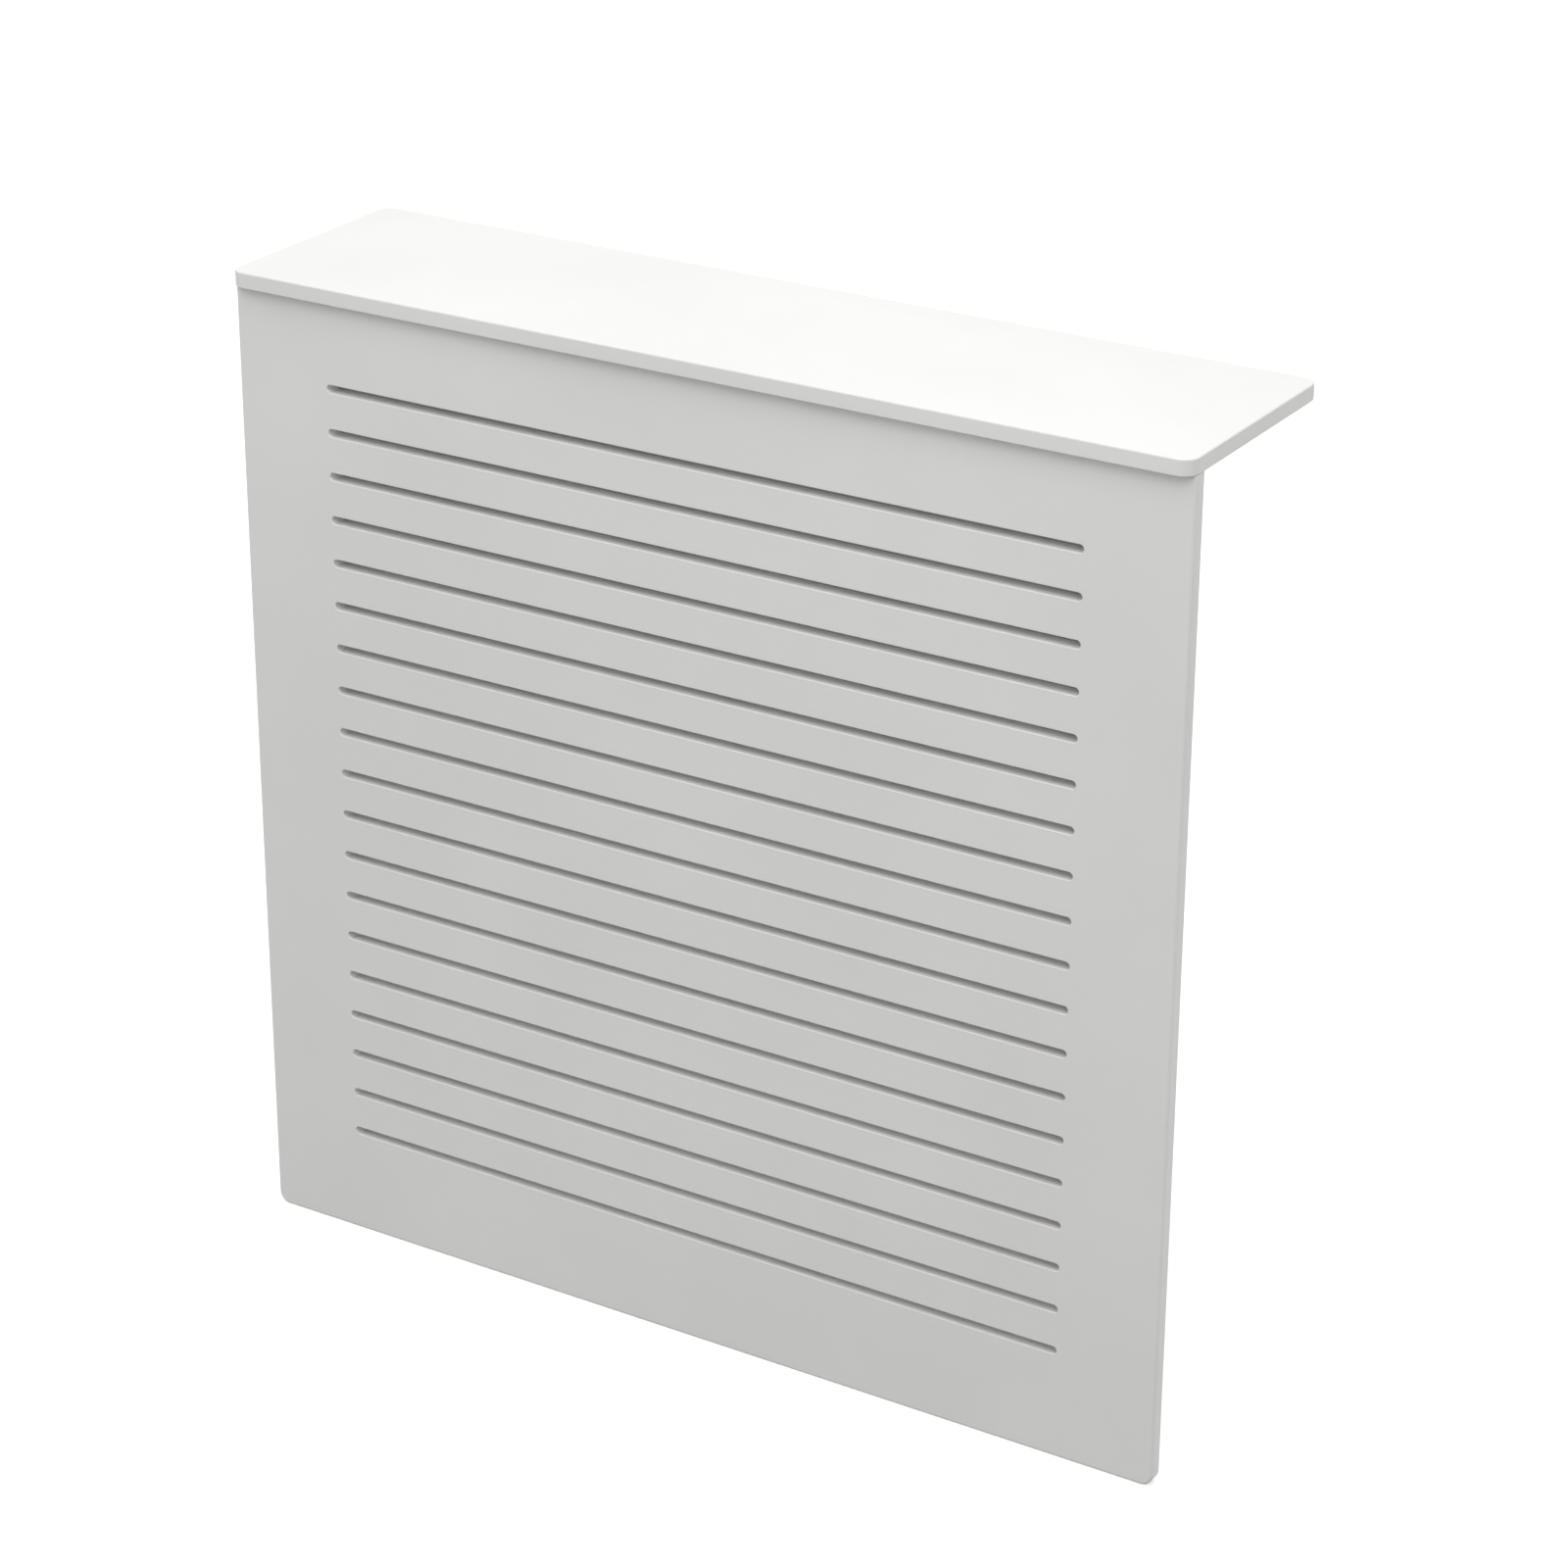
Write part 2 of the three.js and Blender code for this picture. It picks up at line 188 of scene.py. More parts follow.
# %% [markdown]
# ## Tools of the bench
#
# Blender's operators act on whatever is selected, as they do by hand. A freshly loaded
# part is selected all over, so each step starts by letting go of everything. These small
# helpers hold one piece, and pick its edges or faces by where they lie.

# %% Hold one piece and pick its edges or faces
OVER = 1 * MM  # how far a cutting tool runs past the face that it starts from
ALMOST = 0.9999  # a bevel of exactly half a side would fold its middle points over
MERGE_WITHIN = 2e-6  # joins the points that such a bevel leaves side by side


def hold(piece):
    """Selects one piece and nothing else."""
    bpy.ops.object.select_all(action="DESELECT")
    piece.select_set(True)
    bpy.context.view_layer.objects.active = piece
    return piece


def settle(piece):
    """Puts the place, turn and size of a piece into its mesh."""
    hold(piece)
    bpy.ops.object.transform_apply(location=True, rotation=True, scale=True)
    return piece


def block(name, low, high):
    """A block between two corners, as a start for something better."""
    low, high = Vector(low), Vector(high)
    bpy.ops.object.select_all(action="DESELECT")
    bpy.ops.mesh.primitive_cube_add(size=1, location=(low + high) / 2, scale=high - low)
    bpy.context.object.name = name
    return settle(bpy.context.object)


def clear_picks(piece, mode):
    hold(piece)
    bpy.ops.object.mode_set(mode="EDIT")
    bpy.ops.mesh.select_mode(type=mode)
    bpy.ops.mesh.select_all(action="DESELECT")
    bpy.ops.object.mode_set(mode="OBJECT")


def pick_edges(piece, wanted):
    """Enters edit mode with the edges picked whose two ends satisfy wanted."""
    clear_picks(piece, "EDGE")
    points = piece.data.vertices
    for edge in piece.data.edges:
        edge.select = bool(wanted(*(points[i].co for i in edge.vertices)))
    bpy.ops.object.mode_set(mode="EDIT")


def pick_faces(piece, wanted):
    """Enters edit mode with the faces picked whose middle and normal satisfy wanted."""
    clear_picks(piece, "FACE")
    for face in piece.data.polygons:
        face.select = bool(wanted(face.center, face.normal))
    bpy.ops.object.mode_set(mode="EDIT")


def leave_bench():
    bpy.ops.object.mode_set(mode="OBJECT")


def near(a, b, within=1e-6):
    return abs(a - b) < within


print("bench ready")

# %% [markdown]
# A joiner cuts, and so does a boolean. Slots, dowel holes and pilot holes are cut with a
# tool that has the shape of what is taken away. Several tools are joined into one first,
# so that a board is cut once.
#
# After the cutting, a piece is smoothed. Large flat faces next to tiny rounded edges
# shade badly if every corner's light is averaged, so the Weighted Normal modifier lets
# the large faces win. The count of open edges is printed, because a board is a closed
# solid and a hole in its skin is a mistake.

# %% Cut, finish and check
CREASE = math.radians(40)


def cut(piece, tools, operation="DIFFERENCE"):
    """Cuts a piece with tools, which are used up."""
    bpy.ops.object.select_all(action="DESELECT")
    for tool in tools:
        tool.select_set(True)
    bpy.context.view_layer.objects.active = tools[0]
    if len(tools) > 1:
        bpy.ops.object.join()
    tool = bpy.context.view_layer.objects.active
    hold(piece)
    bpy.ops.object.modifier_add(type="BOOLEAN")
    modifier = piece.modifiers[-1]
    modifier.operation = operation
    modifier.solver = "EXACT"
    modifier.object = tool
    bpy.ops.object.modifier_apply(modifier=modifier.name)
    bpy.data.objects.remove(tool)
    return piece


def smooth(piece, crease=CREASE):
    """Smooth shading with sharp creases, in which large faces stay flat."""
    hold(piece)
    bpy.ops.object.shade_smooth_by_angle(angle=crease)
    bpy.ops.object.modifier_add(type="WEIGHTED_NORMAL")
    piece.modifiers[-1].keep_sharp = True
    bpy.ops.object.modifier_apply(modifier=piece.modifiers[-1].name)
    return piece


def report(piece):
    """Prints a piece's size in mm, its triangles and its open edges."""
    hold(piece)
    bpy.ops.object.mode_set(mode="EDIT")
    bpy.ops.mesh.select_mode(type="EDGE")
    bpy.ops.mesh.select_all(action="DESELECT")
    bpy.ops.mesh.select_non_manifold()
    leave_bench()
    loose = sum(edge.select for edge in piece.data.edges)
    triangles = sum(len(face.vertices) - 2 for face in piece.data.polygons)
    size = [round(side / MM, 2) for side in piece.dimensions]
    print(piece.name, "size", size, "triangles", triangles, "open edges", loose)


def cylinder(name, radius, low, high, sides=24):
    """A round tool or blank between the middles of its two ends, along X, Y or Z."""
    low, high = Vector(low), Vector(high)
    along = high - low
    bpy.ops.object.select_all(action="DESELECT")
    bpy.ops.mesh.primitive_cylinder_add(
        vertices=sides,
        radius=radius,
        depth=along.length,
        location=(low + high) / 2,
        rotation=along.to_track_quat("Z", "Y").to_euler(),
    )
    bpy.context.object.name = name
    return settle(bpy.context.object)


print("crease in degrees:", round(math.degrees(CREASE)))

# %% [markdown]
# ## The measures
#
# The boards' boxes are read from the measured part, so they can't drift from it. What a
# box doesn't tell, such as a corner's radius, is written here under the name that a
# joiner would give it.

# %% Measures of the boards
board_low, board_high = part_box("top_board")
panel_low, panel_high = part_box("front_panel")
PANEL_MIDDLE_Y = (panel_low.y + panel_high.y) / 2
WALL_Y = board_high.y
UNDERSIDE_Z = board_low.z

BOARD_CORNER = 15 * MM
BOARD_EDGE = 1.5 * MM
PANEL_CORNER = 12 * MM
PANEL_EDGE = 2.5 * MM

SLOT_COUNT = 19
SLOT_HEIGHT = 8 * MM
SLOT_PITCH = 43.6 * MM
SLOT_SIDE_MARGIN = 102 * MM
SLOT_TOP_MARGIN = 85 * MM
SLOT_CHAMFER = 0.5 * MM

print("board", [round(v / MM, 1) for v in board_high - board_low])
print("panel", [round(v / MM, 1) for v in panel_high - panel_low])

# %% Measures of the joints
BRACE_XS = [x * MM for x in (-440.0, -440 / 3, 440 / 3, 440.0)]
BRACE_HOLES = [32 * MM, 17 * MM]
BRACKET_XS = [-330 * MM, 0.0, 330 * MM]
BRACKET_SIDES = [-11 * MM, 11 * MM]
BRACKET_HOLE = 42 * MM
BRACKET_SLOT = 38 * MM
DOWEL_XS = [(a + b) / 2 for a, b in zip(BRACE_XS, BRACE_XS[1:])]

BRACE_SHEET = 2 * MM
BRACKET_SHEET = 2.5 * MM
SCREW_LENGTH = 12 * MM
PILOT_RADIUS = 1.45 * MM
PILOT_ROOM = 1 * MM
DOWEL_IN_PANEL = 19 * MM
DOWEL_IN_BOARD = 9 * MM
DOWEL_HOLE_RADIUS = 4.2 * MM
DOWEL_ROOM = 1 * MM

print("dowels at", [round(x / MM, 1) for x in DOWEL_XS])

# %% [markdown]
# ## The top board
#
# A shelf of 16 mm fibreboard. Its four corners are cut round with a saw template and its
# long edges are eased with a small rounding-over bit, so that the lacquer doesn't crack
# and nobody knocks into a sharp arris. It could be drawn as an outline and extruded, but
# a block with its corner edges bevelled and then its rims bevelled follows the two cuts
# in the order that the workshop makes them.

# %% Top board: blank, corners and eased edges
shelf = block("shelf_board", board_low, board_high)
pick_edges(shelf, lambda a, b: not near(a.z, b.z))
bpy.ops.mesh.bevel(offset=BOARD_CORNER, segments=12, affect="EDGES")
leave_bench()
pick_edges(shelf, lambda a, b: near(a.z, b.z))
bpy.ops.mesh.bevel(offset=BOARD_EDGE, segments=4, affect="EDGES")
leave_bench()
report(shelf)

# %% [markdown]
# Underneath, the board has three dowel holes over the panel's top edge, and pilot holes
# for the screws of the braces and of the wall brackets. Nobody sees them once the cover
# is put together, but the screws need somewhere to go.

# %% Top board: holes in its underside
below = UNDERSIDE_Z - OVER
board_drills = []
for x in DOWEL_XS:
    top = UNDERSIDE_Z + DOWEL_IN_BOARD + DOWEL_ROOM
    start, end = (x, PANEL_MIDDLE_Y, below), (x, PANEL_MIDDLE_Y, top)
    board_drills.append(cylinder("drill", DOWEL_HOLE_RADIUS, start, end))
board_screw_places = []
for x in BRACE_XS:
    for distance in BRACE_HOLES:
        board_screw_places.append((x, panel_high.y + distance, SCREW_LENGTH - BRACE_SHEET))
for x in BRACKET_XS:
    for side in BRACKET_SIDES:
        board_screw_places.append((x + side, WALL_Y - BRACKET_HOLE, SCREW_LENGTH - BRACKET_SHEET))
for x, y, grip in board_screw_places:
    start, end = (x, y, below), (x, y, UNDERSIDE_Z + grip + PILOT_ROOM)
    board_drills.append(cylinder("drill", PILOT_RADIUS, start, end, sides=16))
print("holes in the board:", len(board_drills))
cut(shelf, board_drills)
smooth(shelf)
report(shelf)

# %% [markdown]
# ## The slotted panel
#
# The front is one 16 mm board with nineteen slots. Each is one pass of an 8 mm router
# bit, which is why its ends are round, and a second pass with a chamfer bit takes off
# the sharp arris on both faces. This is the feature that makes the cover what it is, so
# it is cut as the router cuts it: the room that one slot takes is modelled as a tool,
# the tool is repeated down the panel, and one boolean takes all nineteen away.
#
# The tool starts as the wide mouth at the face: a flat block whose ends are bevelled
# until they are half circles. Its inner face is inset and pushed in, which makes the
# chamfer the same width all round, then extruded to the middle of the board. A mirror
# makes the other half.

# %% Slotted panel: blank
panel = block("slotted_panel", panel_low, panel_high)
pick_edges(panel, lambda a, b: near(a.z, b.z) and near(a.z, panel_low.z) and near(a.x, b.x))
bpy.ops.mesh.bevel(offset=PANEL_CORNER, segments=12, affect="EDGES")
leave_bench()
# Both faces' rims are rounded, all but the top, which is sawn square for the shelf.
pick_edges(
    panel,
    lambda a, b: near(a.y, b.y) and not (near(a.z, b.z) and near(a.z, panel_high.z)),
)
bpy.ops.mesh.bevel(offset=PANEL_EDGE, segments=5, affect="EDGES")
leave_bench()
report(panel)

# %% Slotted panel: the router's path
slot_half_length = (panel_high.x - panel_low.x) / 2 - SLOT_SIDE_MARGIN
half_thickness = (panel_high.y - panel_low.y) / 2
mouth_x = slot_half_length + SLOT_CHAMFER
mouth_z = SLOT_HEIGHT / 2 + SLOT_CHAMFER
path = block(
    "router_path",
    (-mouth_x, -half_thickness - OVER, -mouth_z),
    (mouth_x, -half_thickness, mouth_z),
)
pick_edges(path, lambda a, b: near(a.x, b.x) and near(a.z, b.z))
bpy.ops.mesh.bevel(offset=mouth_z * ALMOST, segments=12, affect="EDGES")
bpy.ops.mesh.select_all(action="SELECT")
bpy.ops.mesh.remove_doubles(threshold=MERGE_WITHIN)
leave_bench()
pick_faces(path, lambda middle, normal: normal.y > 0.9)
bpy.ops.mesh.inset(thickness=SLOT_CHAMFER, depth=SLOT_CHAMFER)
bpy.ops.mesh.extrude_region_move(
    TRANSFORM_OT_translate={"value": (0, half_thickness - SLOT_CHAMFER, 0)}
)
bpy.ops.mesh.delete(type="FACE")
leave_bench()
hold(path)
bpy.ops.object.modifier_add(type="MIRROR")
path.modifiers[-1].use_axis = (False, True, False)
path.modifiers[-1].merge_threshold = 1e-6
bpy.ops.object.modifier_apply(modifier=path.modifiers[-1].name)
pick_faces(path, lambda middle, normal: True)
bpy.ops.mesh.normals_make_consistent(inside=False)
leave_bench()
report(path)

# %% Slotted panel: nineteen passes
hold(path)
bpy.ops.object.modifier_add(type="ARRAY")
row = path.modifiers[-1]
row.count = SLOT_COUNT
row.use_relative_offset = False
row.use_constant_offset = True
row.constant_offset_displace = (0, 0, -SLOT_PITCH)
bpy.ops.object.modifier_apply(modifier=row.name)
path.location = (0, PANEL_MIDDLE_Y, panel_high.z - SLOT_TOP_MARGIN)
settle(path)
cut(panel, [path])
report(panel)

# %% [markdown]
# In front of a real wall, the space behind the slots is in shade, and that shade is what
# makes them read as slots. On a white studio floor it is missing. A photographer would
# hold dark paper behind the openings, so that is done here: one strip of painted shade
# behind each slot, a dark grey sheet that stands for the shade of that space, kept apart
# from the cover's pieces because it isn't part of the cover. The strips are dark from the
# room's side only. From behind, Backfacing makes them clear, so the back of the panel
# shows its slots open.

# %% Stage: painted shade behind the slots, as dark paper strips
# The grey of these strips is painted shade. It stands for the shaded space behind a panel that
# stands against a wall.
SLOT_SHADE_GREY = 0.38
PAPER_GAP = 0.1 * MM

bpy.ops.object.select_all(action="DESELECT")
bpy.ops.mesh.primitive_plane_add(
    size=1,
    location=(0, panel_high.y + PAPER_GAP, panel_high.z - SLOT_TOP_MARGIN),
    rotation=(math.radians(90), 0, 0),
)
strips = bpy.context.object
strips.name = "painted_shade_strips"
strips.scale = (2 * mouth_x, 2 * mouth_z, 1)
settle(strips)
bpy.ops.object.modifier_add(type="ARRAY")
row = strips.modifiers[-1]
row.count = SLOT_COUNT
row.use_relative_offset = False
row.use_constant_offset = True
row.constant_offset_displace = (0, 0, -SLOT_PITCH)
bpy.ops.object.modifier_apply(modifier=row.name)

painted_slot_shade = bpy.data.materials.new("painted_slot_shade")
painted_slot_shade.use_nodes = True
dark_nodes, dark_links = painted_slot_shade.node_tree.nodes, painted_slot_shade.node_tree.links
dark_shader = dark_nodes["Principled BSDF"]
dark_shader.inputs["Base Color"].default_value = (SLOT_SHADE_GREY, SLOT_SHADE_GREY, SLOT_SHADE_GREY, 1)
dark_shader.inputs["Roughness"].default_value = 1.0
dark_shader.inputs["Specular IOR Level"].default_value = 0.0
side_seen = dark_nodes.new("ShaderNodeNewGeometry").outputs["Backfacing"]
clear = dark_nodes.new("ShaderNodeBsdfTransparent")
either = dark_nodes.new("ShaderNodeMixShader")
dark_links.new(side_seen, either.inputs[0])
dark_links.new(dark_shader.outputs[0], either.inputs[1])
dark_links.new(clear.outputs[0], either.inputs[2])
dark_links.new(either.outputs[0], dark_nodes["Material Output"].inputs["Surface"])
strips.data.materials.append(painted_slot_shade)
print("dark strips:", len(strips.data.polygons))

# %% Slotted panel: dowel and screw holes
panel_drills = []
for x in DOWEL_XS:
    bottom = panel_high.z - DOWEL_IN_PANEL - DOWEL_ROOM
    start, end = (x, PANEL_MIDDLE_Y, bottom), (x, PANEL_MIDDLE_Y, panel_high.z + OVER)
    panel_drills.append(cylinder("drill", DOWEL_HOLE_RADIUS, start, end))
grip = SCREW_LENGTH - BRACE_SHEET
for x in BRACE_XS:
    for distance in BRACE_HOLES:
        z = panel_high.z - distance
        start = (x, panel_high.y - grip - PILOT_ROOM, z)
        panel_drills.append(
            cylinder("drill", PILOT_RADIUS, start, (x, panel_high.y + OVER, z), sides=16)
        )
cut(panel, panel_drills)
smooth(panel)
report(panel)

# %% [markdown]
# ## Pressed angles
#
# Flat-pack covers hide steel angles under the shelf: narrow zinc-plated ones join it to
# the panel, and wide painted ones hang it on the wall. Both are stamped from sheet,
# folded, and given a dart across the fold, which stops the angle from opening under a
# load. A dart is sheet that was pushed in, so its thickness stays the same.
#
# Carving that out of a solid would give the wrong shape behind the dart. Instead only
# the outer skin is modelled: a strip with a few rows and columns of faces. It is folded
# by an extrude, the middle of the fold is pushed in, and a subdivision makes the bends
# smooth. Solidify then gives the skin its sheet thickness, on the inner side.

# %% Pressed angle: a strip, folded
DIAGONAL = math.sqrt(0.5)


def folded_skin(name, leg, width, outer_bend, dart_end, dart_half):
    """Outer skin of an angle whose fold lies on the X axis: one leg to +Y, one to -Z."""
    bpy.ops.object.select_all(action="DESELECT")
    bpy.ops.mesh.primitive_plane_add(size=1, location=(0, leg / 2, 0))
    skin = bpy.context.object
    skin.name = name
    skin.scale = (width, leg, 1)
    settle(skin)
    pick_edges(skin, lambda a, b: near(a.y, 0) and near(b.y, 0))
    bpy.ops.mesh.extrude_region_move(TRANSFORM_OT_translate={"value": (0, 0, -leg)})
    for x in (-dart_half * 1.3, -dart_half * 0.6, dart_half * 0.6, dart_half * 1.3):
        bpy.ops.mesh.select_all(action="SELECT")
        bpy.ops.mesh.bisect(plane_co=(x, 0, 0), plane_no=(1, 0, 0))
    for reach in (dart_end * 0.9, dart_end * 1.1, leg * 0.75):
        bpy.ops.mesh.select_all(action="SELECT")
        bpy.ops.mesh.bisect(plane_co=(0, reach, 0), plane_no=(0, 1, 0))
        bpy.ops.mesh.select_all(action="SELECT")
        bpy.ops.mesh.bisect(plane_co=(0, 0, -reach), plane_no=(0, 0, 1))
    leave_bench()
    pick_edges(skin, lambda a, b: all(near(c, 0) for c in (a.y, a.z, b.y, b.z)))
    bpy.ops.mesh.bevel(offset=outer_bend, segments=5, affect="EDGES")
    leave_bench()
    return skin


def pick_points(piece, wanted):
    """Enters edit mode with the points picked that satisfy wanted."""
    clear_picks(piece, "VERT")
    for point in piece.data.vertices:
        point.select = bool(wanted(point.co))
    bpy.ops.object.mode_set(mode="EDIT")


print("fold and dart helpers ready")

# %% [markdown]
# Scaling to zero along one direction flattens whatever is picked onto a plane. Picked
# are the points in the middle of the fold, and the plane is the slanted one that joins
# the dart's two ends, so one resize presses the dart.

# %% Pressed angle: dart, tips, thickness and holes
def press_dart(skin, dart_end, dart_half):
    pick_points(skin, lambda p: abs(p.x) < dart_half and p.y - p.z < dart_end)
    bpy.ops.transform.resize(
        value=(1, 1, 0),
        orient_type="GLOBAL",
        orient_matrix=((1, 0, 0), (0, DIAGONAL, DIAGONAL), (0, DIAGONAL, -DIAGONAL)),
        orient_matrix_type="GLOBAL",
        constraint_axis=(False, False, True),
        center_override=(0, dart_end / 2, -dart_end / 2),
    )
    leave_bench()


def pressed_angle(name, leg, width, sheet, inner_bend, dart_reach, dart_width, tip_radius):
    """A finished angle without its holes. The dart's measures are those of its inner side."""
    dart_end = dart_reach - sheet / DIAGONAL
    dart_half = dart_width / 2 - sheet
    skin = folded_skin(name, leg, width, inner_bend + sheet, dart_end, dart_half)
    press_dart(skin, dart_end, dart_half)
    half = width / 2
    pick_points(skin, lambda p: near(abs(p.x), half) and (near(p.y, leg) or near(p.z, -leg)))
    bpy.ops.mesh.bevel(offset=tip_radius, segments=6, affect="VERTICES")
    leave_bench()
    hold(skin)
    bpy.ops.object.modifier_add(type="SUBSURF")
    skin.modifiers[-1].levels = skin.modifiers[-1].render_levels = 2
    skin.modifiers[-1].boundary_smooth = "PRESERVE_CORNERS"
    bpy.ops.object.modifier_apply(modifier=skin.modifiers[-1].name)
    bpy.ops.object.modifier_add(type="SOLIDIFY")
    skin.modifiers[-1].thickness = sheet
    skin.modifiers[-1].offset = -1
    skin.modifiers[-1].use_even_offset = True
    bpy.ops.object.modifier_apply(modifier=skin.modifiers[-1].name)
    return skin


def slot_tool(name, length, width, middle, reach):
    """A tool for an upright slot with round ends in a sheet that faces Y."""
    low = Vector((-width / 2, -reach, -length / 2)) + Vector(middle)
    high = Vector((width / 2, reach, length / 2)) + Vector(middle)
    tool = block(name, low, high)
    pick_edges(tool, lambda a, b: near(a.x, b.x) and near(a.z, b.z))
    bpy.ops.mesh.bevel(offset=width / 2 * ALMOST, segments=8, affect="EDGES")
    bpy.ops.mesh.select_all(action="SELECT")
    bpy.ops.mesh.remove_doubles(threshold=MERGE_WITHIN)
    leave_bench()
    return tool


print("sheets in mm:", BRACE_SHEET / MM, BRACKET_SHEET / MM)

# %% Corner brace: one, with its four holes
SCREW_HOLE_RADIUS = 2.25 * MM

brace = pressed_angle(
    "brace_pattern",
    leg=40 * MM,
    width=20 * MM,
    sheet=BRACE_SHEET,
    inner_bend=2 * MM,
    dart_reach=14 * MM,
    dart_width=7 * MM,
    tip_radius=4 * MM,
)
through = BRACE_SHEET + OVER
brace_drills = []
for distance in BRACE_HOLES:
    ends = ((0, distance, -through), (0, distance, OVER))
    brace_drills.append(cylinder("drill", SCREW_HOLE_RADIUS, *ends))
    ends = ((0, -OVER, -distance), (0, through, -distance))
    brace_drills.append(cylinder("drill", SCREW_HOLE_RADIUS, *ends))
cut(brace, brace_drills)
smooth(brace)
report(brace)

# %% Wall bracket: one, with its holes and wall slots
WALL_SLOT_LENGTH, WALL_SLOT_WIDTH = 12 * MM, 5.5 * MM

bracket = pressed_angle(
    "bracket_pattern",
    leg=60 * MM,
    width=40 * MM,
    sheet=BRACKET_SHEET,
    inner_bend=2.5 * MM,
    dart_reach=24 * MM,
    dart_width=10 * MM,
    tip_radius=6 * MM,
)
through = BRACKET_SHEET + OVER
bracket_drills = []
for side in BRACKET_SIDES:
    ends = ((side, BRACKET_HOLE, -through), (side, BRACKET_HOLE, OVER))
    bracket_drills.append(cylinder("drill", SCREW_HOLE_RADIUS, *ends))
    middle = (side, 0, -BRACKET_SLOT)
    bracket_drills.append(slot_tool("slot", WALL_SLOT_LENGTH, WALL_SLOT_WIDTH, middle, through))
cut(bracket, bracket_drills)
smooth(bracket)
report(bracket)

# %% [markdown]
# ## Screws
#
# The screws are 4 by 12 mm pan heads with a cross recess. A screw is turned, so its core
# is built ring by ring: a disc is extruded along the axis and resized at each step, like
# clay on a wheel. The thread is one triangular tooth that the Screw modifier winds up
# the core, and the recess is cut by two crossed blocks that get narrower with depth.
#
# There are 22 of them, all alike, so one is modelled and copied. Its head is at the
# origin and it points up.

# %% Screw: turned core and head
SCREW_CORE, SCREW_THREAD = 1.25 * MM, 2 * MM
HEAD_RADIUS, HEAD_HEIGHT, HEAD_RIM = 4 * MM, 2.6 * MM, 0.8 * MM
TIP_LENGTH = 3 * MM
DOME_STEPS = 8
DOME_FLAT = 0.3 * MM  # radius of the small flat in the middle of the head
BLUNT = 0.1 * MM  # the head's lower edge and the tip aren't perfectly sharp


def turned(name, rings, sides):
    """A turned piece along Z from (radius, z) rings, from its lower end up."""
    radius, z = rings[0]
    bpy.ops.object.select_all(action="DESELECT")
    bpy.ops.mesh.primitive_circle_add(
        vertices=sides, radius=radius, fill_type="NGON", location=(0, 0, z)
    )
    piece = bpy.context.object
    piece.name = name
    settle(piece)
    bpy.ops.object.mode_set(mode="EDIT")
    bpy.ops.mesh.select_mode(type="FACE")
    bpy.ops.mesh.select_all(action="SELECT")
    for next_radius, next_z in rings[1:]:
        bpy.ops.mesh.extrude_region_move(
            TRANSFORM_OT_translate={"value": (0, 0, next_z - z)}
        )
        change = next_radius / radius
        bpy.ops.transform.resize(value=(change, change, 1), center_override=(0, 0, next_z))
        radius, z = next_radius, next_z
    bpy.ops.mesh.select_all(action="SELECT")
    bpy.ops.mesh.normals_make_consistent(inside=False)
    leave_bench()
    return piece


dome_height = HEAD_HEIGHT - HEAD_RIM
dome = []
for step in range(1, DOME_STEPS + 1):
    angle = math.pi / 2 * (1 - step / DOME_STEPS)
    dome.append((HEAD_RADIUS * math.cos(angle), -HEAD_RIM - dome_height * math.sin(angle)))
shank = [
    (HEAD_RADIUS, -BLUNT),
    (HEAD_RADIUS - BLUNT, 0),
    (SCREW_CORE, 0),
    (SCREW_CORE, SCREW_LENGTH - TIP_LENGTH),
    (BLUNT, SCREW_LENGTH),
]
screw = turned("screw_pattern", [(DOME_FLAT, -HEAD_HEIGHT), *dome, *shank], sides=32)
report(screw)

# %% Screw: thread
TOOTH = 0.567 * MM  # from the tooth's middle to its crest
PITCH = 1.4 * MM
TURNS = 6
THREAD_START = 0.9 * MM  # above the head's seat
RUN_OUT_STEP = 0.5 * MM
RUN_OUT_SHRINK = 0.85

bpy.ops.object.select_all(action="DESELECT")
bpy.ops.mesh.primitive_circle_add(
    vertices=3,
    radius=TOOTH,
    fill_type="NOTHING",
    location=(SCREW_THREAD - TOOTH, 0, THREAD_START),
    rotation=(math.radians(90), math.radians(90), 0),
)
thread = settle(bpy.context.object)
thread.name = "thread"
bpy.ops.object.modifier_add(type="SCREW")
winding = thread.modifiers[-1]
winding.axis = "Z"
winding.angle = math.radians(360)
winding.screw_offset = PITCH
winding.iterations = TURNS
winding.steps = winding.render_steps = 16
bpy.ops.object.modifier_apply(modifier=winding.name)
pick_faces(thread, lambda middle, normal: True)
bpy.ops.mesh.fill_holes(sides=3)
bpy.ops.mesh.select_all(action="SELECT")
bpy.ops.mesh.normals_make_consistent(inside=False)
leave_bench()
report(thread)
# The last turn runs out on the tapered tip.
tip_start = SCREW_LENGTH - TIP_LENGTH
for step in range(3):
    level = tip_start - (1 - step) * RUN_OUT_STEP
    pick_points(thread, lambda p: p.z > level)
    bpy.ops.transform.resize(
        value=(RUN_OUT_SHRINK, RUN_OUT_SHRINK, 1), center_override=(0, 0, level)
    )
    leave_bench()
cut(screw, [thread], "UNION")
report(screw)

# %% Screw: cross recess
RECESS_DEPTH, RECESS_LENGTH, RECESS_WIDTH = 1.5 * MM, 4.2 * MM, 1.0 * MM
RECESS_TAPER = (0.4, 0.6, 1)  # its bottom, as a share of its mouth

for turn in (0, 90):
    arm = block(
        "recess_arm",
        (-RECESS_LENGTH / 2, -RECESS_WIDTH / 2, -HEAD_HEIGHT - OVER),
        (RECESS_LENGTH / 2, RECESS_WIDTH / 2, -HEAD_HEIGHT + RECESS_DEPTH),
    )
    pick_faces(arm, lambda middle, normal: normal.z > 0.9)
    bpy.ops.transform.resize(value=RECESS_TAPER)
    leave_bench()
    arm.rotation_euler = (0, 0, math.radians(turn))
    settle(arm)
    cut(screw, [arm])
smooth(screw)
report(screw)

